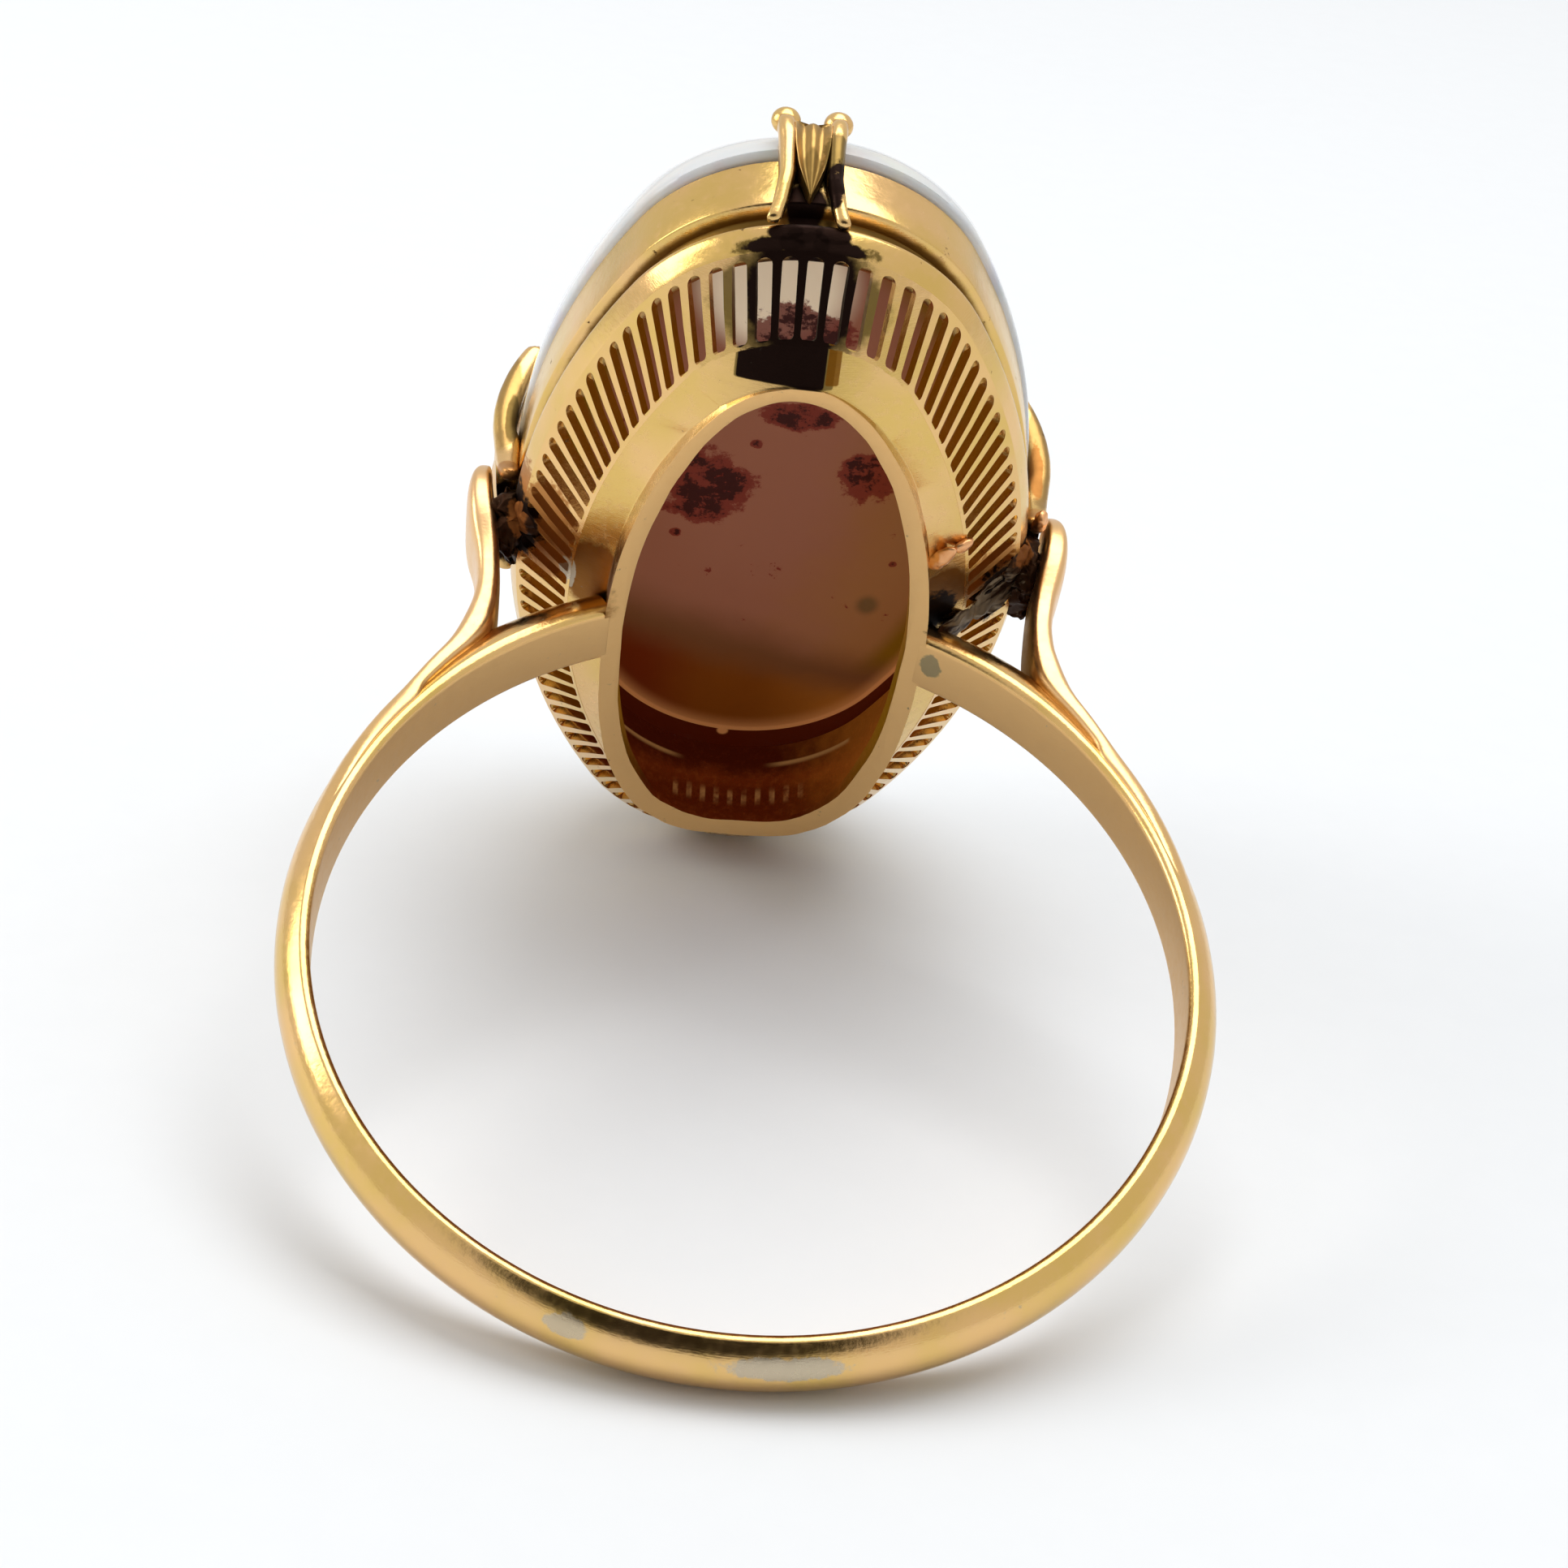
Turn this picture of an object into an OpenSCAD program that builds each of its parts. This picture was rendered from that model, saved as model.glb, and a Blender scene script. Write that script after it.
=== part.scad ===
// Opal cabochon ring, lying on its side as it comes to rest on a table.
// Ring frame: X across the ring, Y from the finger's centre to the opal, Z along the finger.
// Ovals are named by their half width, and all of them share the opal's four arc centres.

/* [Finger hole and shank] */
// Diameter of the finger hole
finger_d = 17; // [15.5:0.25:18.5]
// Width of the half-round shank along the finger
shank_w = 1.6; // [1.3:0.1:2]
// Thickness of the shank outside the finger hole
shank_t = 0.68; // [0.6:0.02:0.8]

/* [Opal] */
// Length of the opal along the finger
opal_l = 19.3; // [18.8:0.1:19.8]
// Width of the opal across the finger
opal_w = 11.3; // [11.1:0.1:11.5]
// Height of the dome above the girdle
dome_h = 4.6; // [4.4:0.1:4.8]
// Depth of the slightly rounded back below the seat
back_h = 0.35; // [0.1:0.05:0.6]

/* [Basket] */
// Height of the basket from the finger hole to the opal's seat
basket_h = 3.9; // [3.8:0.05:4]
// Half width of the opening in the base
base_in = 3.02; // [2.9:0.02:3.1]
// Number of slots in each quarter of the pierced gallery
quarter_slots = 23; // [15:1:27]
// Width of one slot
slot_w = 0.28; // [0.2:0.01:0.3]

/* [Claws] */
// Distance between the two beads of a claw, centre to centre
bead_gap = 1.22; // [1.16:0.02:1.34]
// Diameter of a bead
bead_d = 0.52; // [0.4:0.02:0.56]
// Width of one prong
prong_w = 0.34; // [0.28:0.02:0.4]

/* [Hidden] */
$fn = 96;
eps = 0.01;

finger_r = finger_d / 2;
seat_y = finger_r + basket_h;

// The opal's outline: four arcs that meet tangentially
half_l = opal_l / 2;
half_w = opal_w / 2;
end_r = 0.73 * half_w;
side_r = (pow(half_l - end_r, 2) + half_w * half_w - end_r * end_r) / (2 * (half_w - end_r));
end_c = half_l - end_r;
side_c = side_r - half_w;
side_half = atan2(end_c, side_c);
end_half = 90 - side_half;

// Basket wall as [half width of the oval, height], its outside and its inside, upwards
rim_w = 0.54;
band_y = finger_r + 0.35;
slots_y = finger_r + 1.38;
lip_y = finger_r + 2.15;
collar_w = half_w - 0.15;
collar_in = collar_w - 0.45;
outer_rows = [
    [base_in + rim_w, finger_r - 1.2],
    [base_in + rim_w, finger_r + 0.1],
    [base_in + 1.17, band_y],
    [base_in + 2.22, slots_y],
    [collar_w - 0.02, lip_y - 0.2],
    [collar_w + 0.02, lip_y],
    [collar_w - 0.2, lip_y + 0.1],
    [collar_w - 0.2, lip_y + 0.2],
    [collar_w - 0.02, lip_y + 0.26],
    [collar_w, seat_y - 0.06],
    [collar_w - 0.06, seat_y]
];
inner_rows = [
    [base_in, finger_r - 1.5],
    [base_in, finger_r - 0.05],
    [base_in + 0.76, band_y],
    [base_in + 1.83, slots_y],
    [collar_in - 0.1, lip_y - 0.05],
    [collar_in - 0.1, lip_y + 0.5],
    [collar_in, lip_y + 0.6],
    [collar_in, seat_y + 1]
];

// Opal levels as [share of the width, share of the length, height]
dome_steps = 9;
back_steps = 4;
girdle_y = seat_y + 0.12;
seat_gap = 0.04;
dome_power = 2.2;
dome_sink = 0.3;
function side_share(s) = pow(1 - pow(s, dome_power), 1 / dome_power);
function end_share(s) = sqrt((1 - pow((s + dome_sink) / (1 + dome_sink), 2))
    / (1 - pow(dome_sink / (1 + dome_sink), 2)));
function dome_level(i) = sin(90 * i / dome_steps);
opal_rows = concat(
    [for (i = [1:back_steps])
        let (a = 90 * i / back_steps, k = sin(a) * (collar_in - 0.1) / half_w)
        [k, k, seat_y + seat_gap - back_h * cos(a)]],
    [[0.95, 0.97, seat_y + seat_gap]],
    [[1, 1, girdle_y - 0.03]],
    [for (i = [0:dome_steps - 1])
        let (s = dome_level(i))
        [side_share(s), end_share(s), girdle_y + dome_h * s]]
);
outline_points = 72;

// Outer arm of the forked shoulder as [height, inner edge, outer edge], from the crotch to the leaf
arm_rows = [
    [4.4, 7.5, 7.95],
    [5.4, 6.95, 7.38],
    [6.3, 6.4, 6.86],
    [7.3, 5.86, 6.42],
    [8.0, 5.82, 6.22],
    [8.7, 5.78, 6.1],
    [9.4, 5.74, 6.05],
    [10.1, 5.8, 6.14],
    [10.7, 5.92, 6.34],
    [11.2, 6.02, 6.48],
    [11.6, 6.05, 6.46],
    [12.0, 6, 6.32],
    [12.25, 5.94, 6.14]
];
// The same arm seen from the side as [height, half width]
leaf_rows = [
    [4.2, 0.8],
    [9.2, 0.72],
    [9.9, 0.84],
    [10.5, 0.98],
    [10.9, 1],
    [11.3, 0.92],
    [11.7, 0.72],
    [12.0, 0.45],
    [12.25, 0.16]
];

// A claw's profile as [distance outside the collar, height above the lip], up the outside
foot_rows = [
    [0.2, -0.05],
    [0.4, 0.6],
    [0.52, 1.35]
];
side_claw_rows = [
    [0.6, 1.9],
    [0.62, 2.4],
    [0.56, 2.95],
    [0.42, 3.5],
    [0.22, 4],
    [-0.06, 4.52],
    [-0.38, 4.32],
    [-0.29, 4],
    [-0.07, 3.5],
    [0.09, 2.95],
    [0.18, 2.4],
    [0.2, 1.74],
    [-0.1, 1.74],
    [-0.1, -0.05]
];
end_claw_rows = [
    [0.6, 1.9],
    [0.56, 2.4],
    [0.36, 2.88],
    [0.06, 3.3],
    [-0.34, 3.58],
    [-0.6, 3.38],
    [-0.48, 3.14],
    [-0.24, 2.79],
    [0.04, 2.33],
    [0.2, 1.98],
    [0.2, 1.74],
    [-0.1, 1.74],
    [-0.1, -0.05]
];
side_bead = [-0.2, 4.42];
end_bead = [-0.5, 3.48];
valley_depth = 0.2;

// Half width of a claw's prong line as [height above the lip, distance from the middle]
prong_rows = [
    [-0.05, 0.8],
    [0.35, 0.52],
    [0.9, 0.42],
    [1.8, 0.42],
    [2.9, 0.48],
    [3.8, bead_gap / 2],
    [4.6, bead_gap / 2]
];

// Resting pose: the lower end claw's foot and the back of the shank touch the table
section_r = (pow(shank_w / 2, 2) + shank_t * shank_t) / (2 * shank_t);
section_c = finger_r + shank_t - section_r;
foot_z = half_l - 0.15 + foot_rows[0].x;
foot_y = lip_y + foot_rows[0].y;
reach = norm([foot_z, foot_y + section_c]);
rest_tilt = acos(section_r / reach) - atan2(foot_y + section_c, foot_z);
rest_lift = section_r + section_c * sin(rest_tilt);
back_reach = section_r + section_c * cos(rest_tilt);
front_reach = max([for (r = opal_rows) r.z * cos(rest_tilt) + half_l * r.y * sin(rest_tilt)]);
rest_shift = (back_reach - front_reach) / 2;

module at_rest() {
    translate([0, rest_shift, rest_lift]) rotate([rest_tilt, 0, 0]) children();
}

// Head frame to ring frame: the head is drawn with its height along Z
module on_head() {
    rotate([-90, 0, 0]) children();
}

// Radius from the middle to the oval of half width b, at an angle from the long axis
function end_radius(b) = end_r - half_w + b;
function side_radius(b) = side_r - half_w + b;
function on_end(b, angle) =
    tan(angle) * (end_c + end_radius(b) * sin(side_half)) < end_radius(b) * cos(side_half);
function oval_radius(b, angle) = on_end(b, angle)
    ? end_c * cos(angle) + sqrt(pow(end_radius(b), 2) - pow(end_c * sin(angle), 2))
    : sqrt(pow(side_radius(b), 2) - pow(side_c * cos(angle), 2)) - side_c * sin(angle);

// A filled oval solid. The end arcs stand join_lap proud, so that they cross the side arcs cleanly.
join_lap = 0.01;
module turned(rows, grow) {
    rotate_extrude() polygon(concat(
        [[0, rows[0].y]],
        [for (p = rows) [p.x + grow, p.y]],
        [[0, rows[len(rows) - 1].y]]));
}

module oval_solid(rows) {
    far = 2 * half_w;
    for (s = [0, 180]) rotate([0, 0, s]) {
        translate([0, end_c, 0]) turned(rows, end_r - half_w + join_lap);
        intersection() {
            translate([-side_c, 0, 0]) turned(rows, side_r - half_w);
            linear_extrude(height = 2 * seat_y) polygon([
                [-1, end_c - tan(side_half)], [far, end_c + far * tan(side_half)],
                [far, -end_c - far * tan(side_half)], [-1, tan(side_half) - end_c]]);
        }
    }
}

module basket_wall() {
    difference() {
        oval_solid(outer_rows);
        oval_solid(inner_rows);
    }
}

// Angle of slot k, for even spacing along the oval half way up the gallery
mid_b = base_in + 1.7;
end_arc = end_radius(mid_b) * end_half * PI / 180;
quarter_arc = end_arc + side_radius(mid_b) * side_half * PI / 180;
function arc_angle(s) = s < end_arc
    ? let (a = s / end_radius(mid_b) * 180 / PI)
        atan2(end_radius(mid_b) * sin(a), end_c + end_radius(mid_b) * cos(a))
    : let (a = side_half - (s - end_arc) / side_radius(mid_b) * 180 / PI)
        atan2(side_radius(mid_b) * cos(a) - side_c, side_radius(mid_b) * sin(a));
function slot_angle(k) = arc_angle((k + 0.5) / quarter_slots * quarter_arc);

module slot(angle) {
    r_in = oval_radius(base_in + 0.45, angle);
    r_out = oval_radius(half_w, angle);
    rotate([0, 0, 90 - angle]) translate([r_in, -slot_w / 2, band_y + 0.06])
        cube([r_out - r_in, slot_w, slots_y - band_y - 0.1]);
}

module slots() {
    for (k = [0:quarter_slots - 1], mx = [0, 1], my = [0, 1])
        mirror([mx, 0, 0]) mirror([0, my, 0]) slot(slot_angle(k));
}

module basket() {
    on_head() difference() {
        basket_wall();
        slots();
    }
}

// The half-round shank runs round the finger and ends in the base of the basket
shank_end = 22.5;
module shank() {
    rotate([0, 0, 90 + shank_end]) rotate_extrude(angle = 360 - 2 * shank_end) intersection() {
        translate([section_c, 0]) circle(r = section_r);
        translate([finger_r - 0.2, -shank_w]) square([shank_w, 2 * shank_w]);
    }
}

// The finger's cylinder gives the shank its flat inside and the basket its concave foot
module band() {
    difference() {
        union() {
            basket();
            shank();
        }
        cylinder(h = 2 * opal_l, r = finger_r, center = true);
    }
}

// The outer arm curves off the shank and ends in a pointed leaf against the side claw
module outer_arm() {
    side_view = concat([for (r = arm_rows) [r.z, r.x]],
        [for (i = [len(arm_rows) - 1:-1:0]) [arm_rows[i].y, arm_rows[i].x]]);
    front_view = concat([for (r = leaf_rows) r],
        [for (i = [len(leaf_rows) - 1:-1:0]) [leaf_rows[i].x, -leaf_rows[i].y]]);
    intersection() {
        linear_extrude(height = 4 * shank_w, center = true) polygon(side_view);
        rotate([0, 90, 0]) linear_extrude(height = opal_w)
            polygon([for (p = front_view) [-p.y, p.x]]);
    }
}

// A claw stands at the origin with its height along Z and its outside along +X
module claw_profile(rows, width) {
    rotate([90, 0, 0]) linear_extrude(height = width, center = true)
        polygon([for (p = concat(foot_rows, rows)) [p.x, lip_y + p.y]]);
}

module prong_outline() {
    inner = [for (r = prong_rows) [r.y - prong_w / 2, lip_y + r.x]];
    outer = [for (i = [len(prong_rows) - 1:-1:0])
        [prong_rows[i].y + prong_w / 2, lip_y + prong_rows[i].x]];
    polygon(concat(inner, outer));
}

// The sunken valley between the prongs, with its point over the collar
module valley_outline() {
    side = bead_gap / 2 - 0.1;
    polygon([[0, lip_y + 0.8], [0.35, lip_y + 1.4], [side, lip_y + 3.6],
        [0, lip_y + 3.45], [-side, lip_y + 3.6], [-0.35, lip_y + 1.4]]);
}

module across() {
    rotate([90, 0, 90]) linear_extrude(height = opal_w, center = true) children();
}

module claw(rows, bead) {
    intersection() {
        claw_profile(rows, opal_w);
        union() {
            across() prong_outline();
            across() mirror([1, 0]) prong_outline();
        }
    }
    intersection() {
        claw_profile(rows, opal_w);
        translate([-valley_depth, 0, -valley_depth / 2]) claw_profile(rows, opal_w);
        across() valley_outline();
    }
    for (s = [-1, 1])
        translate([bead.x, s * bead_gap / 2, lip_y + bead.y]) sphere(d = bead_d);
}

// Solder that ties the side claw's foot to the leaf
module side_solder() {
    translate([-0.1, -0.45, lip_y + 0.5]) cube([0.7, 0.9, 0.9]);
}

module claws() {
    on_head() for (s = [0, 180]) rotate([0, 0, s]) {
        translate([0, half_l - 0.15, 0]) rotate([0, 0, 90]) claw(end_claw_rows, end_bead);
        translate([collar_w, 0, 0]) {
            claw(side_claw_rows, side_bead);
            side_solder();
        }
    }
}

module ring_mount() {
    color("goldenrod") at_rest() {
        band();
        outer_arm();
        mirror([1, 0, 0]) outer_arm();
        claws();
    }
}

// The opal's outline at outline_points angles, as [x, y] for a half width of 1 and half length of 1
function outline_point(j) =
    let (a = 360 * j / outline_points, f = abs(a > 180 ? 360 - a : a), q = f > 90 ? 180 - f : f,
        r = oval_radius(half_w, q))
    [r * sin(a), r * cos(a)];

module opal() {
    n = outline_points;
    rings = len(opal_rows);
    points = concat(
        [for (r = opal_rows, j = [0:n - 1])
            let (p = outline_point(j)) [p.x * r.x, r.z, p.y * r.y]],
        [[0, seat_y + seat_gap - back_h, 0], [0, girdle_y + dome_h, 0]]);
    low = n * rings;
    faces = concat(
        [for (i = [0:rings - 2], j = [0:n - 1])
            let (k = (j + 1) % n)
            [i * n + j, i * n + k, (i + 1) * n + k, (i + 1) * n + j]],
        [for (j = [0:n - 1]) [low, (j + 1) % n, j]],
        [for (j = [0:n - 1])
            [low + 1, (rings - 1) * n + j, (rings - 1) * n + (j + 1) % n]]);
    color("lavenderblush") at_rest() polyhedron(points = points, faces = faces);
}

ring_mount();
opal();
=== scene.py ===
# Opal cabochon ring: worn gold mount, pierced gallery, milky opal, lying on a pale table.
# Pieces are modelled upright in millimetres (X across, Z up to the opal, Y along the finger)
# and then laid down into the table's place in metres.
import math

import bmesh
import bpy
from mathutils import Matrix, Vector, noise


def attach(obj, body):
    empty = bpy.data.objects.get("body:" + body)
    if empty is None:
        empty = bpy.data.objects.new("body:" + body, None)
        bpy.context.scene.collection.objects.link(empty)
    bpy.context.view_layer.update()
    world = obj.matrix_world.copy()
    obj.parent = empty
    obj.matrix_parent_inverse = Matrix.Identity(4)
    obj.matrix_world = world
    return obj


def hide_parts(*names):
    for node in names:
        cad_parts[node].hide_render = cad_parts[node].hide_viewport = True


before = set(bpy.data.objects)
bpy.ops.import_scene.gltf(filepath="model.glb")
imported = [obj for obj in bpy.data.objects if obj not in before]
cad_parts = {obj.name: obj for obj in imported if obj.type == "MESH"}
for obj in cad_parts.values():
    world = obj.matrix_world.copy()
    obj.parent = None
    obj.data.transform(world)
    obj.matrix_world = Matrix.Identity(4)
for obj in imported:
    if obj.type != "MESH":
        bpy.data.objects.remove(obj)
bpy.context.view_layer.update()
noise.seed_set(5)   # so that the wear is the same each run

fingerRadius = 8.5   # mm, the hole for the finger
rest = {"tilt": 24.9025, "lift": 4.3347, "shift": -4.2701}   # how it lies on the table: degrees, mm, mm
layTurn = Matrix.Rotation(math.radians(rest["tilt"] - 90), 4, "X")
layMove = Matrix.Translation((0, rest["shift"] / 1000, rest["lift"] / 1000))
layDown = layMove @ layTurn @ Matrix.Scale(0.001, 4)


# Small modelling helpers

orderAlong = Vector((1000, 31, 1))   # slanted, so that points seldom lie level along it


def clamp(value):
    return min(1, max(0, value))


def deselect():
    if bpy.context.object and bpy.context.object.mode != "OBJECT":
        bpy.ops.object.mode_set(mode="OBJECT")
    bpy.ops.object.select_all(action="DESELECT")


def pick(*pieces):
    deselect()
    for piece in pieces:
        piece.select_set(True)
    bpy.context.view_layer.objects.active = pieces[0]


def editAll(piece):
    pick(piece)
    bpy.ops.object.mode_set(mode="EDIT")
    bpy.ops.mesh.select_all(action="SELECT")


def endEdit():
    bpy.ops.object.mode_set(mode="OBJECT")


def applyPlace(piece):
    pick(piece)
    bpy.ops.object.transform_apply(location=True, rotation=True, scale=True)


def turnPiece(piece, degrees):
    piece.rotation_euler = (0, 0, math.radians(degrees))
    applyPlace(piece)


def addModifier(piece, kind, **settings):
    pick(piece)
    modifier = piece.modifiers.new(kind.title(), kind)
    for key, value in settings.items():
        setattr(modifier, key, value)
    bpy.ops.object.modifier_apply(modifier=modifier.name)


def subdivide(piece, levels):
    addModifier(piece, "SUBSURF", levels=levels, render_levels=levels)


def bevelEdges(piece, width, segments, sharperThan):
    addModifier(piece, "BEVEL", width=width, segments=segments, limit_method="ANGLE",
                angle_limit=math.radians(sharperThan))


def tidyMesh(piece, gap=0.0005):
    editAll(piece)
    bpy.ops.mesh.remove_doubles(threshold=gap)
    bpy.ops.mesh.normals_make_consistent(inside=False)
    endEdit()


def orderPoints(piece):
    # the same order each run, because a boolean cut leaves them in another one
    editAll(piece)
    mesh = bmesh.from_edit_mesh(piece.data)
    mesh.verts.sort(key=lambda v: v.co.dot(orderAlong))
    bmesh.update_edit_mesh(piece.data)
    endEdit()


def startLoop(name, places):
    deselect()
    bpy.ops.mesh.primitive_circle_add(vertices=len(places), radius=1)
    piece = bpy.context.object
    piece.name = piece.data.name = name
    for vertex, place in zip(piece.data.vertices, places):
        vertex.co = place
    return piece


def loft(name, loops):
    # fills the first loop and extrudes it through all the others
    piece = startLoop(name, loops[0])
    editAll(piece)
    bpy.ops.mesh.edge_face_add()
    bpy.ops.mesh.select_all(action="SELECT")
    for before, after in zip(loops, loops[1:]):
        bpy.ops.mesh.extrude_region_move()
        mesh = bmesh.from_edit_mesh(piece.data)
        for vertex in [v for v in mesh.verts if v.select]:
            nearest = min(range(len(before)), key=lambda k: (Vector(before[k]) - vertex.co).length_squared)
            vertex.co = after[nearest]
        bmesh.update_edit_mesh(piece.data)
    endEdit()
    tidyMesh(piece)
    return piece


def roundedPlaces(points, power):
    # places round a unit circle, pushed out towards a square as the power grows
    places = []
    for k in range(points):
        turn = 2 * math.pi * k / points
        x, y = math.cos(turn), math.sin(turn)
        push = (abs(x) ** power + abs(y) ** power) ** (-1 / power)
        places.append((x * push, y * push))
    return places


def between(rows, height, column):
    # value of that column at that height, from rows that start with their height
    if height <= rows[0][0]:
        return rows[0][column]
    for low, high in zip(rows, rows[1:]):
        if height <= high[0]:
            share = (height - low[0]) / (high[0] - low[0])
            return low[column] + (high[column] - low[column]) * share
    return rows[-1][column]


def joinPieces(name, pieces):
    pick(*pieces)
    if len(pieces) > 1:
        bpy.ops.object.join()
    pieces[0].name = pieces[0].data.name = name
    return pieces[0]


def copyOf(piece, name):
    pick(piece)
    bpy.ops.object.duplicate()
    twin = bpy.context.object
    twin.name = twin.data.name = name
    return twin


innerWall = {"oval": 0.55, "inward": -0.35, "upward": -0.45}   # which faces count as the basket's inside


def finishPiece(piece, material, replaced, smoothUnder, inner=None):
    pick(piece)
    bpy.ops.object.shade_smooth_by_angle(angle=math.radians(smoothUnder))
    piece.data.materials.clear()
    piece.data.materials.append(material)
    if inner:
        # walls that look towards the middle of the basket get the darker, duller inner gold, which also glows
        # with painted light coming through the stone
        piece.data.materials.append(inner)
        for face in piece.data.polygons:
            middle = Vector((face.center.x, face.center.y * innerWall["oval"], 0)).normalized()
            isInside = face.normal.dot(middle) < innerWall["inward"] and face.normal.z > innerWall["upward"]
            face.material_index = int(isInside)
    piece.matrix_world = layDown
    applyPlace(piece)
    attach(piece, "root")
    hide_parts(replaced)
    print("made", piece.name, len(piece.data.polygons), "faces")


# The ovals of the head: four arcs that meet tangentially

oval = {"halfWidth": 5.65, "halfLength": 9.65, "endRadius": 4.1245, "stepDegrees": 1.6, "fewestSteps": 8}
endCentre = oval["halfLength"] - oval["endRadius"]
sideRadius = (endCentre ** 2 + oval["halfWidth"] ** 2 - oval["endRadius"] ** 2) \
    / (2 * (oval["halfWidth"] - oval["endRadius"]))
sideCentre = sideRadius - oval["halfWidth"]
sideHalf = math.atan2(endCentre, sideCentre)
endHalf = math.pi / 2 - sideHalf


def endArc(width):
    return oval["endRadius"] - oval["halfWidth"] + width


def sideArc(width):
    return sideRadius - oval["halfWidth"] + width


def ovalPlace(width, turn):
    # place on the oval of that half width where it faces that way
    x, y = abs(math.cos(turn)), abs(math.sin(turn))
    if math.atan2(y, x) <= sideHalf:
        x, y = sideArc(width) * x - sideCentre, sideArc(width) * y
    else:
        x, y = endArc(width) * x, endArc(width) * y + endCentre
    return math.copysign(x, math.cos(turn)), math.copysign(y, math.sin(turn))


def sweepOval(name, profile):
    # profile is a closed loop of (half width, height); five spins carry it round the oval
    piece = startLoop(name, [(width, 0, height) for width, height in profile])
    editAll(piece)
    arcs = [
        ((-sideCentre, 0, 0), sideHalf),
        ((0, endCentre, 0), 2 * endHalf),
        ((sideCentre, 0, 0), 2 * sideHalf),
        ((0, -endCentre, 0), 2 * endHalf),
        ((-sideCentre, 0, 0), sideHalf),
    ]
    for centre, angle in arcs:
        steps = max(oval["fewestSteps"], round(math.degrees(angle) / oval["stepDegrees"]))
        bpy.ops.mesh.spin(steps=steps, angle=-angle, center=centre, axis=(0, 0, 1))
    endEdit()
    tidyMesh(piece, 0.002)
    return piece


# Materials

class Wire:
    # a socket that can be used in sums
    def __init__(self, sheet, socket):
        self.sheet = sheet
        self.socket = socket

    def maths(self, operation, first, second):
        return self.sheet.maths(operation, first, second)

    def __add__(self, other):
        return self.maths("ADD", self, other)

    def __radd__(self, other):
        return self.maths("ADD", other, self)

    def __sub__(self, other):
        return self.maths("SUBTRACT", self, other)

    def __rsub__(self, other):
        return self.maths("SUBTRACT", other, self)

    def __mul__(self, other):
        return self.maths("MULTIPLY", self, other)

    def __rmul__(self, other):
        return self.maths("MULTIPLY", other, self)


class Sheet:
    # one material's node tree
    def __init__(self, name, constants):
        self.material = bpy.data.materials.new(name)
        self.material.use_nodes = True
        self.tree = self.material.node_tree
        self.shader = self.tree.nodes["Principled BSDF"]
        for socket, value in constants.items():
            self.shader.inputs[socket].default_value = value

    def add(self, kind, settings, inputs, output=0):
        node = self.tree.nodes.new(kind)
        for key, value in settings.items():
            setattr(node, key, value)
        for key, value in inputs.items():
            if isinstance(value, Wire):
                self.tree.links.new(value.socket, node.inputs[key])
            else:
                node.inputs[key].default_value = value
        return Wire(self, node.outputs[output])

    def feed(self, socket, wire):
        self.tree.links.new(wire.socket, self.shader.inputs[socket])

    def upright(self):
        # object coordinates turned back to the upright place, in millimetres
        place = self.add("ShaderNodeTexCoord", {}, {}, 3)
        return self.add("ShaderNodeMapping", {"vector_type": "TEXTURE"}, {
            "Vector": place, "Location": (0, rest["shift"] / 1000, rest["lift"] / 1000),
            "Rotation": (math.radians(rest["tilt"] - 90), 0, 0), "Scale": (0.001, 0.001, 0.001)})

    def split(self, vector):
        return [self.add("ShaderNodeSeparateXYZ", {}, {0: vector}, k) for k in range(3)]

    def noise(self, vector, scale, detail=3, roughness=0.55, output=0):
        return self.add("ShaderNodeTexNoise", {}, {
            "Vector": vector, "Scale": scale, "Detail": detail, "Roughness": roughness}, output)

    def blend(self, share, first, second):
        return self.add("ShaderNodeMix", {"data_type": "RGBA"}, {0: share, 6: first, 7: second}, 2)

    def band(self, value, low, high):
        # 0 below low, 1 above high
        return self.add("ShaderNodeMapRange", {"interpolation_type": "SMOOTHSTEP"}, {
            "Value": value, "From Min": low, "From Max": high})

    def maths(self, operation, *values):
        return self.add("ShaderNodeMath", {"operation": operation}, dict(enumerate(values)))

    def vectors(self, operation, first, second, output=0):
        return self.add("ShaderNodeVectorMath", {"operation": operation}, {0: first, 1: second}, output)

    def absolute(self, value):
        return self.maths("ABSOLUTE", value)

    def box(self, vector, centre, size, soft=0.05):
        # 1 inside a box of those half sizes, falling to 0 outside it
        share = None
        for value, middle, half in zip(self.split(vector), centre, size):
            inside = 1 - self.band(self.absolute(value - middle), half - soft, half + soft)
            share = inside if share is None else share * inside
        return share

    def spot(self, vector, centre, size, soft=0.35):
        # 1 inside an ellipsoid, falling to 0 outside it
        scaled = self.vectors("DIVIDE", self.vectors("SUBTRACT", vector, centre), size)
        return 1 - self.band(self.far(scaled), 1 - soft, 1 + soft)

    def far(self, vector):
        return self.add("ShaderNodeVectorMath", {"operation": "LENGTH"}, {0: vector}, 1)

    def bump(self, height, strength, distance):
        return self.add("ShaderNodeBump", {}, {
            "Height": height, "Strength": strength, "Distance": distance})


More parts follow.
